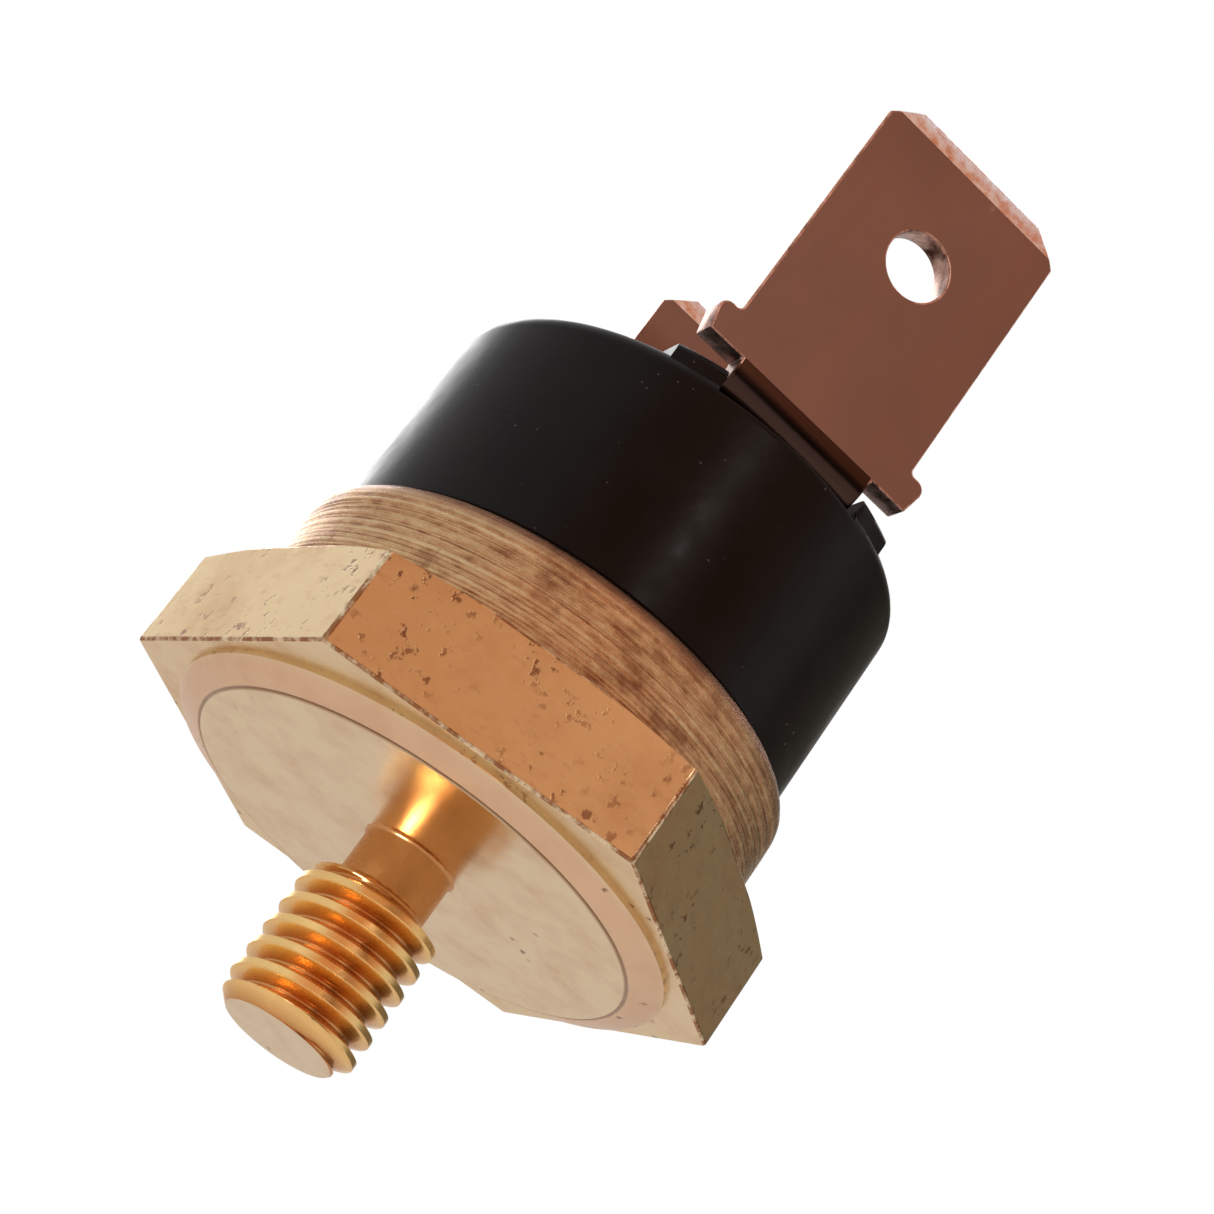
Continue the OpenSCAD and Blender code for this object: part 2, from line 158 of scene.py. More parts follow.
class SwitchColours(bpy.types.PropertyGroup):
    brass: colour("Brass", "Clean turned brass", (0.80, 0.60, 0.34))
    brass_tarnish: colour("Tarnished brass", "Brass where it has gone brown", (0.52, 0.24, 0.09))
    seat: colour("Seat brass", "Pale brass of the seat face", (0.86, 0.70, 0.46))
    collar: colour("Collar brass", "Pinkish brass of the rolled collar", (0.60, 0.34, 0.17))
    collar_dark: colour("Collar stain", "Brown lines and stains on the collar", (0.24, 0.09, 0.04))
    stud: colour("Stud brass", "Golden brass of the stud", (0.94, 0.62, 0.25))
    pits: colour("Pits", "Dark pits and specks", (0.24, 0.10, 0.05))
    case: colour("Case", "Black phenolic", (0.005, 0.0035, 0.0035))
    terminal: colour("Terminal", "Copper-brown terminals", (0.265, 0.165, 0.14))
    terminal_edge: colour("Cut edge", "Bright sheared edges", (0.80, 0.52, 0.44))
    # The silvery tone is a painted reflection on the blades' lead-in bevels.
    tip_reflection: colour("Tip reflection", "Silvery plating at the blades' tips", (0.93, 0.90, 0.97))


# ---------------------------------------------------------------- modelling helpers


def values(context):
    """The sizes and colours set in the scene."""
    return context.scene.switch_sizes, context.scene.switch_colours


def start():
    """Object mode with nothing selected."""
    if bpy.context.object and bpy.context.object.mode != "OBJECT":
        bpy.ops.object.mode_set(mode="OBJECT")
    bpy.ops.object.select_all(action="DESELECT")


def only(obj):
    start()
    obj.select_set(True)
    bpy.context.view_layer.objects.active = obj


def edit(obj, kind="VERT"):
    only(obj)
    bpy.ops.object.mode_set(mode="EDIT")
    bpy.ops.mesh.select_mode(type=kind)
    bpy.ops.mesh.select_all(action="SELECT")


def wire(name, points):
    """An object whose edges run from point to point, drawn by extruding one vertex."""
    start()
    bpy.ops.mesh.primitive_plane_add(size=MM)
    obj = bpy.context.object
    obj.name = name
    edit(obj)
    bpy.ops.mesh.merge(type="CENTER")
    bpy.ops.transform.translate(value=points[0])
    for a, b in zip(points, points[1:]):
        bpy.ops.mesh.extrude_region_move(TRANSFORM_OT_translate={"value": Vector(b) - Vector(a)})
    return obj


def close_up(merge=1e-7):
    """Joins seams and points every face outwards, in edit mode."""
    bpy.ops.mesh.select_all(action="SELECT")
    bpy.ops.mesh.remove_doubles(threshold=merge)
    bpy.ops.mesh.dissolve_degenerate(threshold=1e-8)
    bpy.ops.mesh.select_all(action="SELECT")
    bpy.ops.mesh.normals_make_consistent(inside=False)
    bpy.ops.object.mode_set(mode="OBJECT")


def lathe(name, outline, steps=128, centre=(0, 0)):
    """Spins an outline of (radius, height) points round an upright axis."""
    obj = wire(name, [(centre[0] + r, centre[1], z) for r, z in outline])
    bpy.ops.mesh.select_all(action="SELECT")
    bpy.ops.mesh.spin(steps=steps, angle=math.tau, center=(centre[0], centre[1], 0), axis=(0, 0, 1))
    close_up()
    return obj


def plug(name, radius, low, high, centre=(0, 0), steps=48):
    """Upright solid cylinder, used to cut holes and to trim."""
    return lathe(name, [(0, low), (radius, low), (radius, high), (0, high)], steps, centre)


def prism(name, outline, depth):
    """Fills a closed outline of points and extrudes it along the vector depth."""
    obj = wire(name, list(outline) + [outline[0]])
    bpy.ops.mesh.select_all(action="SELECT")
    bpy.ops.mesh.remove_doubles(threshold=1e-7)
    bpy.ops.mesh.edge_face_add()
    bpy.ops.mesh.extrude_region_move(TRANSFORM_OT_translate={"value": depth})
    close_up()
    return obj


def block(name, low, high, rounding=0.0, segments=3):
    """A box between two corners, with rounded edges."""
    low, high = Vector(low), Vector(high)
    start()
    bpy.ops.mesh.primitive_cube_add(size=1)
    obj = bpy.context.object
    obj.name = name
    edit(obj)
    bpy.ops.transform.resize(value=high - low)
    bpy.ops.transform.translate(value=(low + high) / 2)
    if rounding:
        bpy.ops.mesh.bevel(offset=rounding, segments=segments, affect="EDGES")
    close_up()
    return obj


def arc(centre, radius, first, last, steps=8):
    """Points of an arc, with angles in degrees."""
    turns = [math.radians(first + (last - first) * i / steps) for i in range(steps + 1)]
    return [(centre[0] + radius * math.cos(t), centre[1] + radius * math.sin(t)) for t in turns]


def combine(obj, other, operation):
    only(obj)
    mod = obj.modifiers.new("combine", "BOOLEAN")
    mod.object = other
    mod.operation = operation
    mod.solver = "EXACT"
    bpy.ops.object.modifier_apply(modifier=mod.name)
    bpy.data.objects.remove(other, do_unlink=True)


def soften(obj, width, segments=2, limit=35):
    """Rounds the sharp edges."""
    only(obj)
    mod = obj.modifiers.new("soften", "BEVEL")
    mod.width = width
    mod.segments = segments
    mod.limit_method = "ANGLE"
    mod.angle_limit = math.radians(limit)
    mod.use_clamp_overlap = True
    bpy.ops.object.modifier_apply(modifier=mod.name)


def shade(obj, degrees=32, flat=False):
    """Smooth shading up to an angle; flat keeps large faces even beside their rounded edges."""
    only(obj)
    bpy.ops.object.shade_smooth_by_angle(angle=math.radians(degrees))
    if flat:
        mod = obj.modifiers.new("even", "WEIGHTED_NORMAL")
        mod.weight = 100
        mod.keep_sharp = True
        bpy.ops.object.modifier_apply(modifier=mod.name)


def place(obj, body, nodes=()):
    """Attaches a finished piece to the empty of its body and hides the CAD nodes it stands for."""
    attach(obj, body)
    if nodes:
        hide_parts(*nodes)


def paint(obj, *materials):
    obj.data.materials.clear()
    for material in materials:
        obj.data.materials.append(material)


def paint_where(obj, index, test):
    """Gives the faces that pass the test of (centre, normal) the material of that index."""
    for face in obj.data.polygons:
        if test(face.center, face.normal):
            face.material_index = index


# ---------------------------------------------------------------- material helpers


class Nodes:
    """A node tree that is put together one node at a time."""

    def __init__(self, tree):
        self.tree = tree

    def add(self, kind, inputs=(), **settings):
        node = self.tree.nodes.new(kind)
        for key, value in settings.items():
            setattr(node, key, value)
        for key, value in dict(inputs).items():
            if isinstance(value, bpy.types.NodeSocket):
                self.tree.links.new(value, node.inputs[key])
            else:
                node.inputs[key].default_value = value
        return node

    def math(self, operation, a, b=0.0):
        return self.add("ShaderNodeMath", {0: a, 1: b}, operation=operation).outputs[0]

    def ramp(self, value, *stops):
        node = self.add("ShaderNodeValToRGB", {0: value})
        line = node.color_ramp
        while len(line.elements) < len(stops):
            line.elements.new(1.0)
        for element, (at, shade_) in zip(line.elements, stops):
            element.position = at
            element.color = (*shade_, 1.0) if len(shade_) == 3 else shade_
        return node.outputs[0]

    def grey(self, value, low, high, first=0.0, last=1.0):
        return self.add("ShaderNodeMapRange", {0: value, 1: low, 2: high, 3: first, 4: last}).outputs[0]

    def mix(self, factor, a, b):
        node = self.add("ShaderNodeMix", data_type="RGBA")
        for socket, value in ((node.inputs[0], factor), (node.inputs[6], a), (node.inputs[7], b)):
            if isinstance(value, bpy.types.NodeSocket):
                self.tree.links.new(value, socket)
            elif socket.type == "RGBA":
                socket.default_value = (*value, 1.0)
            else:
                socket.default_value = value
        return node.outputs[2]


class Finish(Nodes):
    """A node material of one Principled shader, on the object's own coordinates."""

    def __init__(self, name, metallic=0.0, roughness=0.4):
        self.material = bpy.data.materials.new(name)
        self.material.use_nodes = True
        super().__init__(self.material.node_tree)
        self.shader = self.tree.nodes["Principled BSDF"]
        self.shader.inputs["Metallic"].default_value = metallic
        self.shader.inputs["Roughness"].default_value = roughness
        self.place = self.add("ShaderNodeTexCoord").outputs["Object"]

    def stretched(self, scale):
        return self.add("ShaderNodeMapping", {"Vector": self.place, "Scale": scale}).outputs[0]

    def noise(self, scale, detail=4.0, rough=0.5, vector=None):
        inputs = {"Vector": vector or self.place, "Scale": scale, "Detail": detail, "Roughness": rough}
        return self.add("ShaderNodeTexNoise", inputs).outputs[0]

    def cells(self, scale, spread=1.0, vector=None):
        inputs = {"Vector": vector or self.place, "Scale": scale, "Randomness": spread}
        return self.add("ShaderNodeTexVoronoi", inputs).outputs["Distance"]

    def radius(self):
        """Distance from the upright axis."""
        flat = self.add("ShaderNodeVectorMath", {0: self.place, 1: (1, 1, 0)}, operation="MULTIPLY")
        return self.add("ShaderNodeVectorMath", {0: flat.outputs[0]}, operation="LENGTH").outputs["Value"]

    def lines(self, value, scale, detail=6.0):
        """Noise that changes along one value only, such as height or radius."""
        inputs = {"W": value, "Scale": scale, "Detail": detail, "Roughness": 0.75}
        return self.add("ShaderNodeTexNoise", inputs, noise_dimensions="1D").outputs[0]

    def height(self):
        return self.add("ShaderNodeSeparateXYZ", {0: self.place}).outputs[2]

    def bump(self, value, distance, strength=1.0):
        before = self.shader.inputs["Normal"].links
        inputs = {"Height": value, "Distance": distance, "Strength": strength}
        if before:
            inputs["Normal"] = before[0].from_socket
        self.to("Normal", self.add("ShaderNodeBump", inputs).outputs[0])

    def to(self, name, value):
        self.tree.links.new(value, self.shader.inputs[name])


def pits(m, spacing, share, size=0.3):
    """Dark pits of uneven shape, spread over a share of the surface."""
    uneven = m.math("MULTIPLY", m.noise(spacing * 2.2, 4, 0.75), 0.75)
    spots = m.math("ADD", m.cells(spacing), uneven)
    lone = m.grey(m.noise(spacing * 0.23, 2), 1 - share, 1.05 - share)
    return m.math("MULTIPLY", m.grey(spots, size + 0.08, size + 0.24, 1.0, 0.0), lone)


def mottled(name, first, second, scale, limits, roughness, bump, detail=4, rough=0.7, metallic=1.0):
    """Two close tones, roughness and relief that all follow one noise."""
    m = Finish(name, metallic)
    grain = m.noise(scale, detail, rough)
    m.to("Base Color", m.mix(m.grey(grain, *limits), first, second))
    m.to("Roughness", m.grey(grain, 0.3, 0.7, *roughness))
    m.bump(grain, *bump)
    return m.material


def brass_hexagon(c):
    """Drawn brass: faint brown clouds, dark pits, smudges along the drawing direction."""
    m = Finish("brass_hexagon", 1.0)
    clouds = m.noise(330, 5, 0.6)
    smudges = m.noise(1100, 5, 0.7, m.stretched((1, 1, 2.2)))
    tone = m.mix(m.grey(clouds, 0.45, 0.75, 0.0, 0.45), c.brass, c.brass_tarnish)
    tone = m.mix(m.grey(smudges, 0.56, 0.72, 0.0, 0.4), tone, c.brass_tarnish)
    groups = m.grey(m.noise(500, 2), 0.4, 0.6)
    flecks = m.math("MULTIPLY", m.grey(m.noise(2600, 3, 0.65), 0.585, 0.645), groups)
    marks = m.math("MAXIMUM", pits(m, 1300, 0.42, 0.32), flecks)
    m.to("Base Color", m.mix(m.math("MULTIPLY", marks, 0.85), tone, c.pits))
    m.to("Roughness", m.grey(m.math("ADD", clouds, smudges), 0.7, 1.3, 0.26, 0.4))
    m.bump(m.math("SUBTRACT", 1.0, marks), 0.00002, 0.3)
    m.bump(smudges, 0.000012, 0.35)
    return m.material


def brass_edge(c):
    """Edges of the hexagon: dark in places and bright in others, partly real wear and partly painted shade
    and painted highlight of the rounded edges.
    """
    m = Finish("brass_edge", 1.0)
    wear_and_highlight = m.noise(1600, 5, 0.7)
    # The dark and bright patches stand partly for wear and partly for painted shade and painted highlight
    # along the edges.
    m.to("Base Color", m.mix(m.grey(wear_and_highlight, 0.44, 0.58), (0.36, 0.16, 0.07), c.seat))
    m.to("Roughness", m.grey(wear_and_highlight, 0.3, 0.7, 0.38, 0.2))
    m.bump(wear_and_highlight, 0.00004, 0.5)
    return m.material


def brass_seat(c):
    """Faced brass with rings from the turning tool, a dark line in its groove, a few stains and a painted
    pinkish reflection on the bevel round the seat.
    """
    m = Finish("brass_seat", 1.0)
    rings = m.lines(m.radius(), 9000)
    stains = m.noise(600, 6, 0.65)
    tone = m.mix(m.grey(stains, 0.46, 0.68, 0.0, 0.6), c.seat, (0.70, 0.46, 0.27))
    seat_r, seat_bevel_top = 0.0066, 0.00045
    # Painted reflection: the bevel round the seat is tinted pinkish, fading out towards its top.
    bevel = m.grey(m.radius(), seat_r + 0.00004, seat_r + 0.0001)
    pinkish = m.math("MULTIPLY", bevel, m.grey(m.height(), 0.0003, seat_bevel_top, 0.6, 0.0))
    tone = m.mix(pinkish, tone, (0.78, 0.48, 0.32))
    marks = pits(m, 1700, 0.42, 0.34)
    inner = m.grey(m.radius(), seat_r - 0.00006, seat_r - 0.00002)
    line = m.math("MULTIPLY", inner, m.grey(m.radius(), seat_r + 0.00004, seat_r + 0.00008, 1.0, 0.0))
    m.to("Base Color", m.mix(m.math("MAXIMUM", marks, m.math("MULTIPLY", line, 0.75)), tone, c.pits))
    worn = m.math("MULTIPLY", bevel, 0.16)
    m.to("Roughness", m.math("ADD", worn, m.grey(m.math("ADD", rings, stains), 0.7, 1.3, 0.15, 0.27)))
    m.bump(rings, 0.000014, 0.4)
    m.bump(m.noise(1600, 4), 0.00001, 0.35)
    return m.material


def brass_collar(c):
    """Rolled brass: pinkish, with fine dark lines round the axis, brown stains and bright rubbed spots."""
    m = Finish("brass_collar", 1.0)
    rings = m.lines(m.height(), 9000)
    breaks = m.noise(1500, 4, 0.7, m.stretched((1, 1, 3)))
    lined = m.math("ADD", m.math("MULTIPLY", rings, 0.7), m.math("MULTIPLY", breaks, 0.5))
    tone = m.ramp(lined, (0.44, c.collar_dark), (0.58, c.collar), (0.74, c.brass))
    stains = m.grey(m.noise(420, 5, 0.7), 0.52, 0.64, 0.0, 0.75)
    tone = m.mix(m.grey(m.height(), 0.0058, 0.0062, 0.0, 0.75), tone, (0.30, 0.12, 0.07))
    m.to("Base Color", m.mix(stains, tone, c.collar_dark))
    m.to("Roughness", m.grey(breaks, 0.35, 0.65, 0.14, 0.34))
    m.bump(rings, 0.00004, 0.7)
    m.bump(breaks, 0.00004, 0.45)
    return m.material


def brass_stud(c):
    """Polished golden thread, browner in its grooves."""
    m = Finish("brass_stud", 1.0)
    groove = m.grey(m.radius(), 0.00158, 0.0019)
    m.to("Base Color", m.mix(groove, (0.62, 0.30, 0.11), c.stud))
    m.to("Roughness", m.grey(m.noise(1800, 3), 0.35, 0.65, 0.2, 0.3))
    m.bump(m.noise(4000, 2), 0.000012, 0.35)
    return m.material


def phenolic(c):
    """Moulded black phenolic: slightly glossy skin with tiny specks and rubs."""
    m = Finish("black_phenolic", 0.0)
    specks = m.grey(m.cells(2300), 0.05, 0.10, 1.0, 0.0)
    few = m.grey(m.noise(600, 2), 0.55, 0.65)
    flow = m.noise(500, 5, 0.6)
    colour_ = m.mix(m.grey(flow, 0.4, 0.7), c.case, (0.008, 0.0055, 0.0052))
    m.to("Base Color", m.mix(m.math("MULTIPLY", specks, few), colour_, (0.12, 0.10, 0.11)))
    m.to("Roughness", m.grey(m.noise(900, 4), 0.3, 0.7, 0.24, 0.36))
    m.shader.inputs["Specular IOR Level"].default_value = 0.14
    m.bump(m.noise(2500, 4), 0.000012, 0.35)
    return m.material


def terminal_metal(c):
    """Rolled terminal strip: even copper-brown satin with faint clouds and rolling grain."""
    m = Finish("terminal_metal", 1.0)
    grain = m.noise(1500, 3, 0.6, m.stretched((1, 1, 0.05)))
    cloud = m.noise(300, 3)
    specks = pits(m, 1300, 0.3, 0.3)
    tone = m.mix(m.grey(cloud, 0.35, 0.7), c.terminal, (0.30, 0.18, 0.15))
    m.to("Base Color", m.mix(specks, tone, (0.5, 0.34, 0.28)))
    m.to("Roughness", m.grey(grain, 0.3, 0.7, 0.36, 0.44))
    m.bump(grain, 0.000005, 0.3)
    return m.material


def terminal_bend_dark_reflection(c):
    """Outside of the bend: smooth, with its near-black colour painted as dark reflection."""
    m = Finish("terminal_bend_dark_reflection", 1.0)
    draw = m.noise(1800, 3, 0.6, m.stretched((0.05, 1, 1)))
    # Painted dark reflection: these near-black tones are not the metal's own colour.
    m.to("Base Color", m.mix(m.grey(draw, 0.35, 0.65), (0.06, 0.035, 0.03), (0.09, 0.05, 0.04)))
    m.to("Roughness", m.grey(draw, 0.3, 0.7, 0.14, 0.26))
    m.bump(draw, 0.000005, 0.25)
    return m.material


def terminal_edge(c):
    """Sheared edge: bright and pinkish, partly bare cut metal and partly painted highlight along the blade
    edges, with a torn grain.
    """
    return mottled("terminal_edge", c.terminal, c.terminal_edge, 2500, (0.35, 0.65), (0.2, 0.4),
                   (0.00003, 0.5))


def terminal_tip(c):
    """Lead-in bevel: pinkish cut metal mottled with silver, the silver a painted reflection of the bright
    room above the blades.
    """
    return mottled("terminal_tip", c.terminal_edge, c.tip_reflection, 2600, (0.38, 0.58), (0.22, 0.42),
                   (0.00003, 0.5))


def plain_metal(name, base, worn, roughness):
    """Small inner metal parts: two close tones and a soft grain."""
    m = Finish(name, 1.0)
    cloud = m.noise(900, 4)
    m.to("Base Color", m.mix(m.grey(cloud, 0.35, 0.65), base, worn))
    m.to("Roughness", m.grey(cloud, 0.3, 0.7, roughness, roughness + 0.14))
    m.bump(m.noise(3500, 2), 0.00001, 0.3)
    return m.material


def guide_plastic():
    """Pressed insulating plate with a fibrous tone."""
    return mottled("guide_plastic", (0.36, 0.20, 0.09), (0.50, 0.31, 0.16), 900, (0.35, 0.65), (0.5, 0.65),
                   (0.00002, 0.4), detail=5, rough=0.65, metallic=0.0)


def ceramic():
    """White ceramic with a faint grain."""
    return mottled("pin_ceramic", (0.80, 0.78, 0.73), (0.88, 0.87, 0.84), 2500, (0.3, 0.7), (0.35, 0.5),
                   (0.000008, 0.3), rough=0.5, metallic=0.0)


# ---------------------------------------------------------------- pieces


class SWITCH_OT_hexagon(bpy.types.Operator):
    """Hexagon with its turned corners, raised seat and the cup for the disc"""

    bl_idname = "switch.hexagon"
    bl_label = "Hexagon and seat"

    def execute(self, context):
        s, c = values(context)
        corner_r = s.hex_flats / math.sqrt(3)
        start()
        bpy.ops.mesh.primitive_cylinder_add(vertices=6, radius=corner_r, depth=s.hex_top - s.hex_lift,
                                            location=(0, 0, (s.hex_top + s.hex_lift) / 2),
                                            rotation=(0, 0, s.hex_turn - math.pi / 2))
        hexagon = context.object
        hexagon.name = "hexagon_and_seat"
        bpy.ops.object.transform_apply(location=True, rotation=True, scale=True)
        edit(hexagon)
        bpy.ops.mesh.bevel(offset=s.hex_round, segments=4, affect="EDGES")
        close_up()
        reach = corner_r + MM
        drop = (reach - s.hex_flats / 2) * math.tan(s.corner_cone)
        cone = lathe("corner_cone", [(0, s.hex_lift - MM), (reach, s.hex_lift - MM),
                                     (reach, s.hex_top - drop), (s.hex_flats / 2, s.hex_top),
                                     (0, s.hex_top)], 192)
        combine(hexagon, cone, "INTERSECT")
        edge = 0.05 * MM
        groove = s.seat_line
        seat = lathe("seat", [(0, s.root_dish), (s.neck_r, s.root_dish), (s.stud_r + 0.11 * MM, 0),
                              (s.seat_r - edge, 0), (s.seat_r - edge * 0.2, groove),
                              (s.seat_r + edge * 0.6, groove), (s.seat_r + edge * 2, edge * 0.8),
                              (s.seat_edge_r - edge, s.seat_bevel_h - edge * 0.4),
                              (s.seat_edge_r, s.seat_bevel_h + edge * 0.6),
                              (s.seat_edge_r, s.hex_lift + 0.3 * MM), (0, s.hex_lift + 0.3 * MM)], 192)
        combine(hexagon, seat, "UNION")
        bore_r = s.collar_r - s.collar_wall
        cup = lathe("cup", [(0, s.pocket_z), (s.pocket_r - s.ledge_w, s.pocket_z),
                            (s.pocket_r - s.ledge_w, s.ledge_z), (s.pocket_r, s.ledge_z),
                            (s.pocket_r, s.hex_top), (bore_r, s.hex_top), (bore_r, s.hex_top + MM),
                            (0, s.hex_top + MM)], 128)
        combine(hexagon, cup, "DIFFERENCE")
        shade(hexagon, 30, flat=True)
        paint(hexagon, brass_hexagon(c), brass_seat(c), brass_edge(c))
        flats = [Vector((math.cos(a), math.sin(a), 0))
                 for a in (s.hex_turn + math.radians(30 + 60 * i) for i in range(6))]
        paint_where(hexagon, 1, lambda at, n: n.z < -0.5)
        # The rounded edges get the edge finish: wear together with painted shade and painted highlight.
        paint_where(hexagon, 2, lambda at, n: at.xy.length > s.hex_flats / 2 - s.hex_round
                    and abs(n.z) < 0.94 and max(n.dot(flat) for flat in flats) < 0.995)
        place(hexagon, "root", ["hex_base"])
        return {"FINISHED"}


def thread_radius(s, turn, z, low):
    """Radius of the stud's surface: a V thread with flat crests that runs out at the neck and the tip."""
    phase = (z / s.pitch - turn / math.tau) % 1.0
    crest, flank = 0.28, 0.60
    depth = min(max((abs(phase - 0.5) * 2 - crest) / flank, 0.0), 1.0)
    radius = s.stud_r - (s.stud_r - s.thread_root_r) * depth
    tip = s.stud_r - s.stud_tip + (z - low)
    fade = min(max((s.neck_shoulder - s.neck_len - z) / s.neck_shoulder, 0.0), 1.0)
    radius = s.neck_r + (radius - s.neck_r) * fade
    fillet = 0.12 * MM
    if z > s.root_dish - fillet:
        rise = min(z - s.root_dish + fillet, fillet)
        radius = s.neck_r + fillet - math.sqrt(max(fillet ** 2 - rise ** 2, 0.0))
    return min(radius, tip)


def cap_end(obj, height):
    """Closes the open ring of a mesh in edit mode at one height with a flat cap of rings."""
    bpy.ops.mesh.select_all(action="DESELECT")
    bpy.ops.object.mode_set(mode="OBJECT")
    for v in obj.data.vertices:
        v.select = abs(v.co.z - height) < 1e-7
    bpy.ops.object.mode_set(mode="EDIT")
    for scale in (0.93, 0.5, 0.1):
        bpy.ops.mesh.extrude_edges_move()
        bpy.ops.transform.resize(value=(scale, scale, 1), center_override=(0, 0, height))
    bpy.ops.mesh.merge(type="CENTER")


class SWITCH_OT_stud(bpy.types.Operator):
    """Threaded stud with its plain neck and chamfered tip"""

    bl_idname = "switch.stud"
    bl_label = "Threaded stud"

    def execute(self, context):
        s, c = values(context)
        low, high = BASE_LOW.z, 0.3 * MM
        around, per_turn = 96, 24
        rise = s.pitch
        rows = math.ceil((high - low + rise) / rise * per_turn)
        start()
        bpy.ops.mesh.primitive_grid_add(x_subdivisions=around, y_subdivisions=rows, size=1)
        stud = context.object
        stud.name = "threaded_stud"
        for v in stud.data.vertices:
            turn = (v.co.x + 0.5) * math.tau
            along = round((v.co.y + 0.5) * rows) / per_turn * rise
            z = min(max(low - rise + along + rise * turn / math.tau, low), high)
            r = thread_radius(s, turn, z, low)
            v.co = (r * math.cos(turn), r * math.sin(turn), z)
        edit(stud)
        bpy.ops.mesh.remove_doubles(threshold=2e-6)
        bpy.ops.mesh.dissolve_degenerate(threshold=1e-7)
        for end in (low, high):
            cap_end(stud, end)
        close_up()
        shade(stud, 35)
        paint(stud, brass_stud(c), brass_seat(c))
        paint_where(stud, 1, lambda at, n: at.z < low + s.stud_tip and n.z < -0.95)
        place(stud, "root")
        return {"FINISHED"}


class SWITCH_OT_collar(bpy.types.Operator):
    """Collar whose rim is rolled over the case, with grooves left by the roller"""

    bl_idname = "switch.collar"
    bl_label = "Crimped collar"

    def execute(self, context):
        s, c = values(context)
        draw = random.Random(7)
        foot = s.hex_top - 0.4 * MM
        bore_r = s.collar_r - s.collar_wall
        top = BASE_HIGH.z
        roll = top - s.lip_z
        outline = [(bore_r, foot), (s.collar_r - 0.02 * MM, foot)]
        z = s.hex_top + 0.1 * MM
        while z < s.lip_z - 0.05 * MM:
            deep = draw.uniform(0.008, 0.04) * MM
            outline += [(s.collar_r, z), (s.collar_r - deep, z + 0.05 * MM),
                        (s.collar_r - 0.004 * MM, z + 0.1 * MM)]
            z += draw.uniform(0.13, 0.2) * MM
        outline += arc((s.collar_r - roll, s.lip_z), roll, 0, 80, 12)
        edge, cut = 0.16 * MM, 0.05 * MM
        outline += arc((s.lip_r + edge, top - edge - 0.01 * MM), edge, 90, 180, 5)
        outline += [(s.lip_r, s.lip_z + cut), (s.lip_r + cut, s.lip_z), (bore_r, s.lip_z), (bore_r, foot)]
        collar = lathe("crimped_collar", outline, 256)
        waves = [(draw.randint(3, 60), draw.uniform(0, math.tau), draw.uniform(0.2, 1.0)) for _ in range(14)]
        for v in collar.data.vertices:
            share = min(max((v.co.z - s.lip_z + 0.5 * MM) / roll, 0.0), 1.0)
            turn = math.atan2(v.co.y, v.co.x)
            wobble = sum(w * math.sin(n * turn + p) for n, p, w in waves) / 14
            if math.hypot(v.co.x, v.co.y) > bore_r:
                v.co.xy = v.co.xy * (1 - 0.0035 * share * (0.5 + wobble))
        shade(collar, 50)
        paint(collar, brass_collar(c))
        place(collar, "root")
        return {"FINISHED"}


class SWITCH_OT_case(bpy.types.Operator):
    """Round phenolic case with its terminal channel, ribs and contact chamber"""

    bl_idname = "switch.case"
    bl_label = "Case"

    def execute(self, context):
        s, c = values(context)
        case_r = CASE_HIGH.x
        rib_top = CASE_HIGH.z
        flange_r = s.collar_r - s.collar_wall - s.fit_gap
        waist_r = s.lip_r - s.fit_gap
        flange_z = s.lip_z - s.fit_gap
        barrel_z = BASE_HIGH.z + s.fit_gap
        cut = 2 * s.fit_gap
        outline = [(s.chamber_r, CASE_LOW.z), (flange_r, CASE_LOW.z), (flange_r, flange_z),
                   (waist_r, flange_z), (waist_r, barrel_z), (case_r - cut, barrel_z),
                   (case_r, barrel_z + cut)]
        outline += arc((case_r - s.case_round, s.case_top - s.case_round), s.case_round, 0, 90, 10)
        outline += [(0, s.case_top), (0, s.roof_z), (s.chamber_r, s.roof_z), (s.chamber_r, CASE_LOW.z)]
        case = lathe("case", outline, 192)
        side = s.channel_half + s.rib_w
        ribs = block("ribs", (-side, -case_r, s.case_top - MM), (side, case_r, rib_top), 0.14 * MM, 3)
        end_r, end_round, root_z = case_r - 0.12 * MM, 0.3 * MM, s.case_top - 2 * MM
        profile = [(0, root_z), (end_r, root_z)]
        profile += arc((end_r - end_round, rib_top - end_round), end_round, 0, 90, 6)
        limit = lathe("rib_limit", profile + [(0, rib_top)], 192)
        combine(ribs, limit, "INTERSECT")
        combine(case, ribs, "UNION")
        channel = block("channel", (-s.channel_half, -2 * case_r, s.channel_z),
                        (s.channel_half, 2 * case_r, rib_top + MM))
        combine(case, channel, "DIFFERENCE")
        boss_half, sink = 2 * MM, 0.1 * MM
        boss = block("boss", (-boss_half, ARM_HIGH.y + 0.02 * MM, ARM_HIGH.z),
                     (boss_half, s.chamber_r + sink, s.roof_z + sink))
        keep = plug("boss_limit", s.chamber_r + 0.2 * MM, 0, s.case_top, steps=128)
        combine(boss, keep, "INTERSECT")
        combine(case, boss, "UNION")
        for y in (-s.rivet_y, s.rivet_y):
            hole = plug("hole", s.rivet_r + s.fit_gap, ARM_HIGH.z - MM, s.case_top + MM, (0, y))
            combine(case, hole, "DIFFERENCE")
        soften(case, 0.05 * MM, 2, 40)
        shade(case, 30, flat=True)
        paint(case, phenolic(c))
        place(case, "root", ["body_case"])
        return {"FINISHED"}


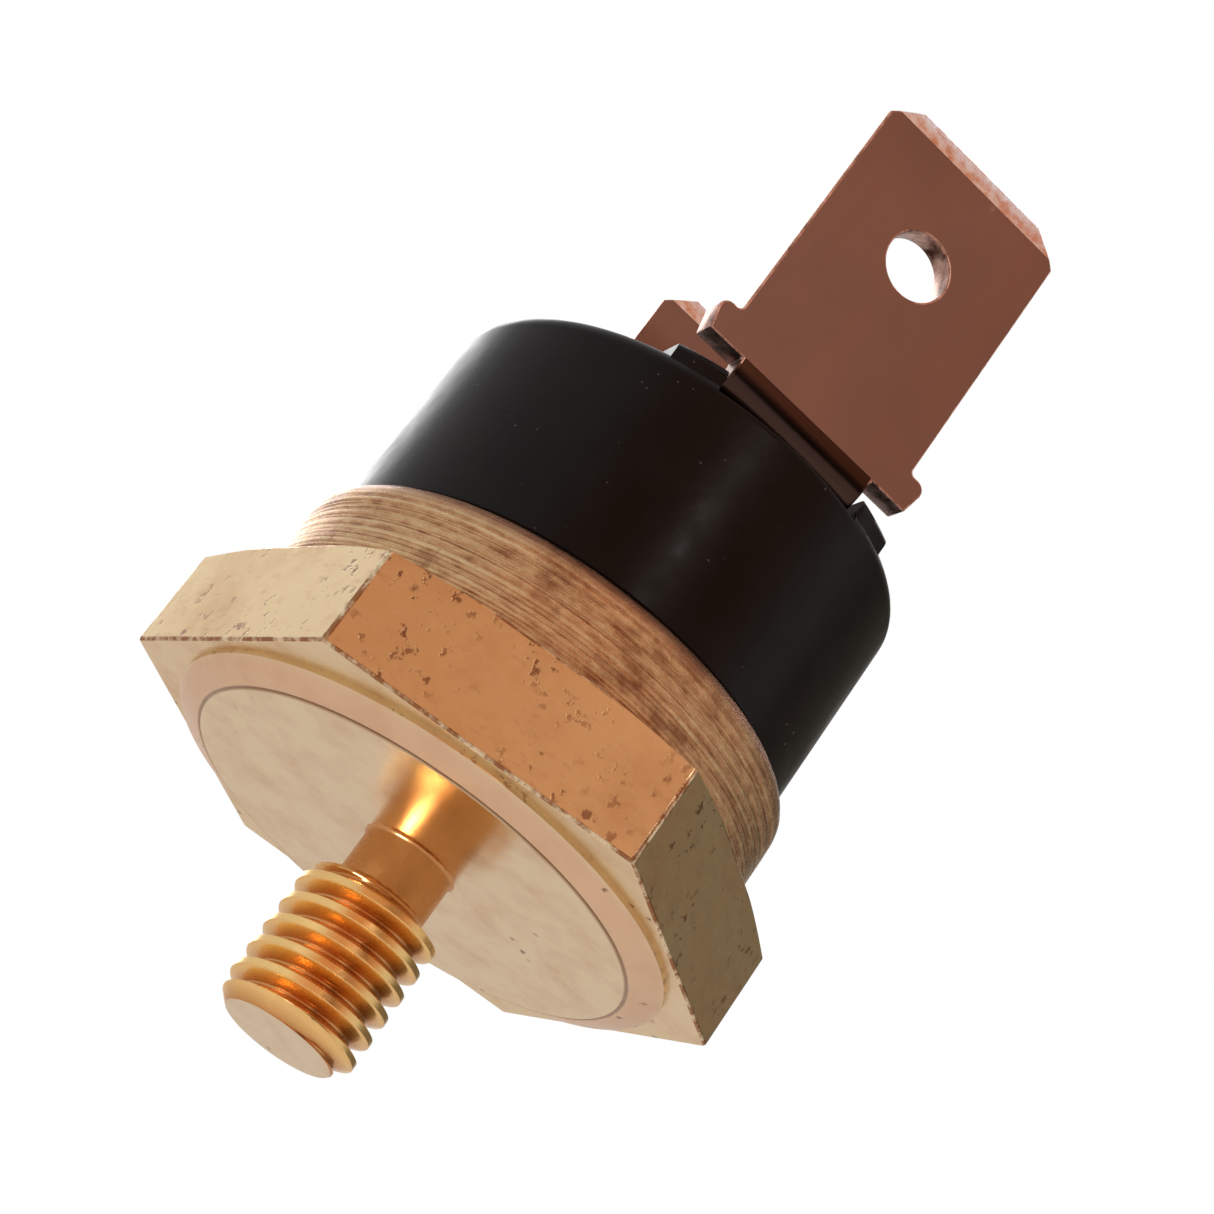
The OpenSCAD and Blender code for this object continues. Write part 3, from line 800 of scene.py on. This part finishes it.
def bent_blade(name, s, side, width, across, top, hole_r, hole_in, face_y):
    """Foot, bend, neck and blade of one terminal; side is -1 at the front and 1 at the rear."""
    t = s.tab_t
    corner = (face_y - s.bend_r, s.channel_z + s.bend_r)
    neck_top = s.shoulder_z + 0.5 * MM
    path = [(s.foot_end, s.channel_z)] + arc(corner, s.bend_r, -90, 0, 10)
    path += [(face_y, neck_top), (face_y - t, neck_top)]
    path += arc(corner, s.bend_r - t, 0, -90, 10) + [(s.foot_end, s.channel_z + t)]
    strip = prism(name, [(-s.foot_w / 2, side * y, z) for y, z in path], (s.foot_w, 0, 0))
    w, a, k, r = width / 2, across / 2, s.tip_corner, s.shoulder_round
    z0, z1 = s.shoulder_z, s.shoulder_z + s.shoulder_h
    half = [(w, z0)]
    if across > width:
        half = [(a - r / 2, z0)] + arc((a - r, z1 - r), r, 0, 90, 5)
        half += arc((w + r / 2, z1 + r / 2), r / 2, 270, 180, 4)
    half += [(w, top - k), (w - k, top)]
    outline = half + [(-x, z) for x, z in reversed(half)]
    blade = prism("blade", [(x, side * face_y, z) for x, z in outline], (0, -side * t, 0))
    for face, out in ((face_y, 1), (face_y - t, -1)):
        wedge = prism("wedge", [(-across, side * (face + out * 0.1 * MM), top - s.lead_len - 0.28 * MM),
                                (-across, side * (face + out * 0.1 * MM), top + 0.1 * MM),
                                (-across, side * (face - out * s.lead_depth), top + 0.1 * MM),
                                (-across, side * (face - out * s.lead_depth), top)], (2 * across, 0, 0))
        combine(blade, wedge, "DIFFERENCE")
    combine(strip, blade, "UNION")
    start()
    bpy.ops.mesh.primitive_cylinder_add(vertices=64, radius=hole_r, depth=4 * t,
                                        rotation=(math.pi / 2, 0, 0),
                                        location=(0, side * (face_y - t / 2), top - hole_in))
    combine(strip, bpy.context.object, "DIFFERENCE")
    rivet_hole = plug("rivet_hole", s.rivet_r + s.fit_gap, s.channel_z - MM, s.channel_z + 2 * MM,
                      (0, side * s.rivet_y))
    combine(strip, rivet_hole, "DIFFERENCE")
    soften(strip, 0.06 * MM, 2, 30)
    shade(strip, 30, flat=True)
    return strip


class SWITCH_OT_terminals(bpy.types.Operator):
    """The wide front terminal and the narrow rear terminal"""

    bl_idname = "switch.terminals"
    bl_label = "Terminals"

    def execute(self, context):
        s, c = values(context)
        finishes = terminal_metal(c), terminal_edge(c), terminal_tip(c), terminal_bend_dark_reflection(c)
        front = bent_blade("front_blade", s, -1, s.wide_w, FRONT_HIGH.x - FRONT_LOW.x, FRONT_HIGH.z,
                           s.wide_hole_r, s.wide_hole_in, -FRONT_LOW.y)
        rear = bent_blade("rear_blade", s, 1, s.foot_w, s.foot_w, REAR_HIGH.z,
                          s.narrow_hole_r, s.narrow_hole_in, REAR_HIGH.y)
        pieces = (front, "front_terminal", FRONT_HIGH.z), (rear, "rear_terminal", REAR_HIGH.z)
        for piece, node, top in pieces:
            paint(piece, *finishes)
            # The bend's outer faces get the near-black finish, a painted dark reflection.
            paint_where(piece, 3, lambda at, n: s.channel_z + 0.1 * MM < at.z < s.shoulder_z
                        and n.z < 0.1 and abs(n.x) < 0.5)
            # The blades' side faces get the bright edge finish, partly cut metal and partly painted
            # highlight.
            paint_where(piece, 1, lambda at, n: at.z > s.channel_z + s.bend_r and abs(n.y) < 0.97)
            # The lead-in bevels get the silvery tip finish, a painted reflection.
            paint_where(piece, 2, lambda at, n: at.z > top - s.lead_len
                        and abs(n.x) < 0.8 and abs(n.z) > 0.15)
            place(piece, "root", [node])
        return {"FINISHED"}


class SWITCH_OT_rivets(bpy.types.Operator):
    """Hollow rivets with rolled heads"""

    bl_idname = "switch.rivets"
    bl_label = "Rivets"

    def execute(self, context):
        s = context.scene.switch_sizes
        finish = plain_metal("rivet_metal", (0.62, 0.56, 0.47), (0.46, 0.36, 0.26), 0.24)
        rivets = (("front_hollow_rivet", "front_rivet", -s.rivet_y, RIVET_LOW.z, RIVET_HIGH.z),
                  ("rear_hollow_rivet", "rear_rivet", s.rivet_y, REAR_RIVET_LOW.z, REAR_RIVET_HIGH.z))
        head_r, head_h = RIVET_HIGH.x, s.rivet_head_h
        roll = head_h / 2
        for name, node, y, low, high in rivets:
            outline = [(s.rivet_bore_r, low + 0.05 * MM), (s.rivet_bore_r + 0.05 * MM, low)]
            outline += arc((head_r - 0.1 * MM, low + 0.1 * MM), 0.1 * MM, -90, 0, 4)
            outline += arc((head_r - 0.06 * MM, low + head_h - 0.06 * MM), 0.06 * MM, 0, 90, 3)
            outline += [(s.rivet_r, low + head_h), (s.rivet_r, high - head_h)]
            outline += arc((head_r - roll, high - roll), roll, -90, 90, 12)
            outline += arc((s.rivet_bore_r + 0.45 * MM, high - 0.45 * MM), 0.45 * MM, 90, 180, 8)
            outline += [(s.rivet_bore_r, low + 0.05 * MM)]
            rivet = lathe(name, outline, 64, (0, y))
            shade(rivet, 40)
            paint(rivet, finish)
            place(rivet, "root", [node])
        return {"FINISHED"}


class SWITCH_OT_disc(bpy.types.Operator):
    """Domed snap disc on the ledge of the base"""

    bl_idname = "switch.disc"
    bl_label = "Snap disc"

    def execute(self, context):
        s = context.scene.switch_sizes
        rim_r = DISC_HIGH.x
        rings = 20
        sag = DISC_HIGH.z - DISC_LOW.z - s.disc_t
        rise = [(rim_r * i / rings, DISC_LOW.z + sag * (i / rings) ** 2) for i in range(rings + 1)]
        outline = rise + [(r, z + s.disc_t) for r, z in reversed(rise)]
        disc = lathe("snap_disc", outline, 96)
        shade(disc, 40)
        paint(disc, plain_metal("bimetal", (0.62, 0.60, 0.56), (0.50, 0.44, 0.38), 0.28))
        place(disc, "root", ["bimetal_disc"])
        return {"FINISHED"}


class SWITCH_OT_guide(bpy.types.Operator):
    """Insulating guide plate and the ceramic pin in it"""

    bl_idname = "switch.guide"
    bl_label = "Guide plate and pin"

    def execute(self, context):
        s = context.scene.switch_sizes
        pin_r = PIN_HIGH.x
        hole_r = pin_r + 0.05 * MM
        top = CASE_LOW.z
        ring_r, ring_in = s.pocket_r - 0.05 * MM, s.pocket_r - 0.1 * MM - s.ledge_w
        cut = 0.05 * MM
        hub_r, rim_r, low, high, face = s.guide_hub_r, PLATE_HIGH.x, PLATE_LOW.z, PLATE_HIGH.z, s.hex_top
        outline = [(hole_r, face + cut), (hole_r + cut, face), (ring_in, face), (ring_in, low + cut),
                   (ring_in + cut, low), (ring_r - cut, low), (ring_r, low + cut), (ring_r, face),
                   (rim_r - cut, face), (rim_r, face + cut), (rim_r, top), (hub_r, top),
                   (hub_r, high - cut), (hub_r - cut, high), (hole_r + cut, high),
                   (hole_r, high - cut), (hole_r, face + cut)]
        plate = lathe("guide_disc", outline, 96)
        shade(plate, 30)
        paint(plate, guide_plastic())
        place(plate, "root", ["guide_plate"])
        crown = s.pin_crown
        edge = math.degrees(math.asin(pin_r / crown))
        low = PIN_LOW.z
        outline = [(0, low), (pin_r - 0.12 * MM, low), (pin_r, low + 0.12 * MM)]
        outline += arc((0, PIN_HIGH.z - crown), crown, 90 - edge, 90, 10)
        pin = lathe("ceramic_pin", outline, 64)
        shade(pin, 35)
        paint(pin, ceramic())
        place(pin, "pin", ["transfer_pin"])
        return {"FINISHED"}


class SWITCH_OT_contacts(bpy.types.Operator):
    """Bracket, leaf spring and the two silver contacts"""

    bl_idname = "switch.contacts"
    bl_label = "Contacts"

    def execute(self, context):
        s = context.scene.switch_sizes
        bronze = plain_metal("spring_bronze", (0.66, 0.36, 0.18), (0.52, 0.27, 0.13), 0.25)
        silver = plain_metal("contact_silver", (0.82, 0.81, 0.79), (0.68, 0.66, 0.62), 0.18)
        t, bend = s.bracket_t, s.bracket_bend
        x1, x0, low, high = BRACKET_HIGH.x, BRACKET_LOW.x, BRACKET_LOW.z, BRACKET_HIGH.z
        lower, upper = (x1 - bend, low + bend), (x1 - bend, high - bend)
        path = [(x0, low)] + arc(lower, bend, -90, 0, 6) + arc(upper, bend, 0, 90, 6)
        path += [(x0, high), (x0, high - t)]
        path += arc(upper, bend - t, 90, 0, 6) + arc(lower, bend - t, 0, -90, 6) + [(x0, low + t)]
        bracket = prism("bracket", [(x, BRACKET_LOW.y, z) for x, z in path],
                        (0, BRACKET_HIGH.y - BRACKET_LOW.y, 0))
        rivet_hole_r, shank_hole_r = s.rivet_r + s.fit_gap, s.shank_r + s.fit_gap
        for y, r, z in ((-s.rivet_y, rivet_hole_r, high), (-s.contact_y, shank_hole_r, low)):
            combine(bracket, plug("hole", r, z - MM, z + MM, (0, y)), "DIFFERENCE")
        soften(bracket, 0.04 * MM, 2, 35)
        shade(bracket, 30, flat=True)
        paint(bracket, bronze)
        place(bracket, "root", ["contact_bracket"])

        half = ARM_HIGH.x
        tip = arc((0, ARM_LOW.y + half), half, 180, 360, 24)
        root = [(half, ANCHOR_HIGH.y), (-half, ANCHOR_HIGH.y)]
        leaf = prism("contact_leaf", [(x, y, ARM_LOW.z) for x, y in tip + root],
                     (0, 0, ARM_HIGH.z - ARM_LOW.z))
        for y, r in ((s.rivet_y, rivet_hole_r), (-s.contact_y, shank_hole_r)):
            combine(leaf, plug("hole", r, ARM_LOW.z - MM, ARM_LOW.z + MM, (0, y)), "DIFFERENCE")
        edit(leaf)
        for i in range(12):
            y = ARM_HIGH.y - 0.5 * MM + i * 0.1 * MM
            bpy.ops.mesh.select_all(action="SELECT")
            bpy.ops.mesh.bisect(plane_co=(0, y, 0), plane_no=(0, 1, 0))
        close_up()
        shade(leaf, 30)
        paint(leaf, bronze)
        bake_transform(leaf)
        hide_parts("contact_arm", "arm_anchor")

        buttons = (("fixed_button", "fixed_contact", "root", FIXED_HIGH.z, -1),
                   ("moving_button", "moving_contact", "arm", MOVING_LOW.z, 1))
        for name, node, body, face, flip in buttons:
            far = MOVING_HIGH.z if flip > 0 else FIXED_LOW.z
            plate = ARM_HIGH.z if flip > 0 else BRACKET_LOW.z
            back = face + flip * s.contact_face
            r = FIXED_HIGH.x
            outline = [(0, face), (r - 0.25 * MM, face + flip * 0.004 * MM),
                       (r - 0.06 * MM, face + flip * 0.05 * MM), (r, face + flip * 0.14 * MM),
                       (r, back), (s.shank_r, back), (s.shank_r, plate),
                       (0.65 * MM, plate), (0.62 * MM, far - flip * 0.02 * MM), (0.5 * MM, far), (0, far)]
            button = lathe(name, outline, 64, (0, -s.contact_y))
            shade(button, 35)
            paint(button, silver)
            place(button, body, [node])
        return {"FINISHED"}


# What the metal mirrors: the room's tone, and patches of it as direction, first and last cosine, colour.
ROOM = (0.72, 0.71, 0.70)
ROOM_PATCHES = (
    ((0.0, -0.90, 0.42), 0.55, 0.86, (0.60, 0.29, 0.16)),
    ((0.85, 0.35, 0.38), 0.78, 0.93, (0.17, 0.15, 0.12)),
    ((0.24, -0.96, -0.14), 0.88, 0.93, (0.03, 0.02, 0.02)),
    ((-0.12, 0.90, 0.41), 0.93, 0.98, (3.2, 3.2, 3.2)),
)
# Lamps as name, place, size, power and tint. The stud lamp lights the stud alone.
LAMPS = (
    ("stud_lamp", (-0.176, -0.099, -0.090), 0.07, 0.6, (1.0, 0.97, 0.92)),
    ("glint", (0.0, -0.273, 0.128), 0.018, 0.03, (1.0, 0.97, 0.92)),
    ("top", (0.08, 0.12, 0.28), 0.16, 0.25, (1.0, 1.0, 1.0)),
)


class SWITCH_OT_stage(bpy.types.Operator):
    """Pale floor, soft lights and the camera"""

    bl_idname = "switch.stage"
    bl_label = "Stage"

    def execute(self, context):
        scene = context.scene
        scene.view_settings.view_transform = "Standard"
        start()
        bpy.ops.mesh.primitive_plane_add(size=20.0, location=(0, 0, -0.15))
        floor = context.object
        floor.name = "floor"
        m = Finish("pale_floor", roughness=0.8)
        m.to("Base Color", m.ramp(m.noise(3), (0.3, (0.84, 0.83, 0.82)), (0.7, (0.88, 0.87, 0.86))))
        paint(floor, m.material)
        self.world(scene)
        self.lights()
        self.camera(scene)
        return {"FINISHED"}

    def world(self, scene):
        """Pale room that is seen as near white, with a warm darker side facing the front of the switch."""
        world = bpy.data.worlds.new("studio")
        scene.world = world
        world.use_nodes = True
        nodes = Nodes(world.node_tree)
        way = nodes.add("ShaderNodeTexCoord").outputs["Generated"]
        room = ROOM
        for direction, low, high, colour_ in ROOM_PATCHES:
            inputs = {0: way, 1: Vector(direction).normalized()}
            dot = nodes.add("ShaderNodeVectorMath", inputs, operation="DOT_PRODUCT").outputs["Value"]
            near = nodes.add("ShaderNodeMapRange", {0: dot, 1: low, 2: high},
                             interpolation_type="SMOOTHSTEP").outputs[0]
            room = nodes.mix(near, room, colour_)
        seen = nodes.add("ShaderNodeLightPath").outputs["Is Camera Ray"]
        back = nodes.tree.nodes["Background"]
        nodes.tree.links.new(nodes.mix(seen, room, (1, 1, 1)), back.inputs["Color"])

    def lights(self):
        for name, at, size, power, tint in LAMPS:
            lamp = bpy.data.lights.new(name, "AREA")
            lamp.size = size
            lamp.energy = power
            lamp.color = tint
            obj = bpy.data.objects.new(name, lamp)
            bpy.context.collection.objects.link(obj)
            obj.location = at
            obj.rotation_euler = (Vector((0, 0, 0.008)) - Vector(at)).to_track_quat("-Z", "Y").to_euler()
            if name == "stud_lamp":
                lit = bpy.data.collections.new("lit_by_stud_lamp")
                lit.objects.link(bpy.data.objects["threaded_stud"])
                obj.light_linking.receiver_collection = lit

    def camera(self, scene):
        """Looks up at the seat and the front terminal from below, with the axis leaning right."""
        azimuth, elevation, roll = math.radians(-15.44), math.radians(-24.14), math.radians(36.16)
        distance = 84.14 * MM
        aim = Vector((0.28, -0.08, 9.03)) * MM
        away = Vector((math.sin(azimuth) * math.cos(elevation), -math.cos(azimuth) * math.cos(elevation),
                       math.sin(elevation)))
        data = bpy.data.cameras.new("camera")
        data.lens = 92.9
        data.sensor_width = 36
        data.clip_start = 0.001
        obj = bpy.data.objects.new("camera", data)
        bpy.context.collection.objects.link(obj)
        obj.location = aim + away * distance
        level = (-away).to_track_quat("-Z", "Y")
        obj.rotation_euler = (level @ Quaternion((0, 0, 1), roll)).to_euler()
        scene.camera = obj


STEPS = (SWITCH_OT_hexagon, SWITCH_OT_stud, SWITCH_OT_collar, SWITCH_OT_case, SWITCH_OT_terminals,
         SWITCH_OT_rivets, SWITCH_OT_disc, SWITCH_OT_guide, SWITCH_OT_contacts, SWITCH_OT_stage)


class SWITCH_PT_panel(bpy.types.Panel):
    """The switch's pieces, one button each"""

    bl_label = "Snap-disc switch"
    bl_idname = "SWITCH_PT_panel"
    bl_space_type = "VIEW_3D"
    bl_region_type = "UI"
    bl_category = "Switch"

    def draw(self, context):
        for step in STEPS:
            self.layout.operator(step.bl_idname)


CLASSES = (SwitchSizes, SwitchColours, *STEPS, SWITCH_PT_panel)


def register():
    for cls in CLASSES:
        bpy.utils.register_class(cls)
    bpy.types.Scene.switch_sizes = bpy.props.PointerProperty(type=SwitchSizes)
    bpy.types.Scene.switch_colours = bpy.props.PointerProperty(type=SwitchColours)


def unregister():
    del bpy.types.Scene.switch_colours
    del bpy.types.Scene.switch_sizes
    for cls in reversed(CLASSES):
        bpy.utils.unregister_class(cls)


def main():
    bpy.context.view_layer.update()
    register()
    bpy.ops.switch.hexagon()
    bpy.ops.switch.stud()
    bpy.ops.switch.collar()
    bpy.ops.switch.case()
    bpy.ops.switch.terminals()
    bpy.ops.switch.rivets()
    bpy.ops.switch.disc()
    bpy.ops.switch.guide()
    bpy.ops.switch.contacts()
    bpy.ops.switch.stage()
    start()


if __name__ == "__main__":
    main()
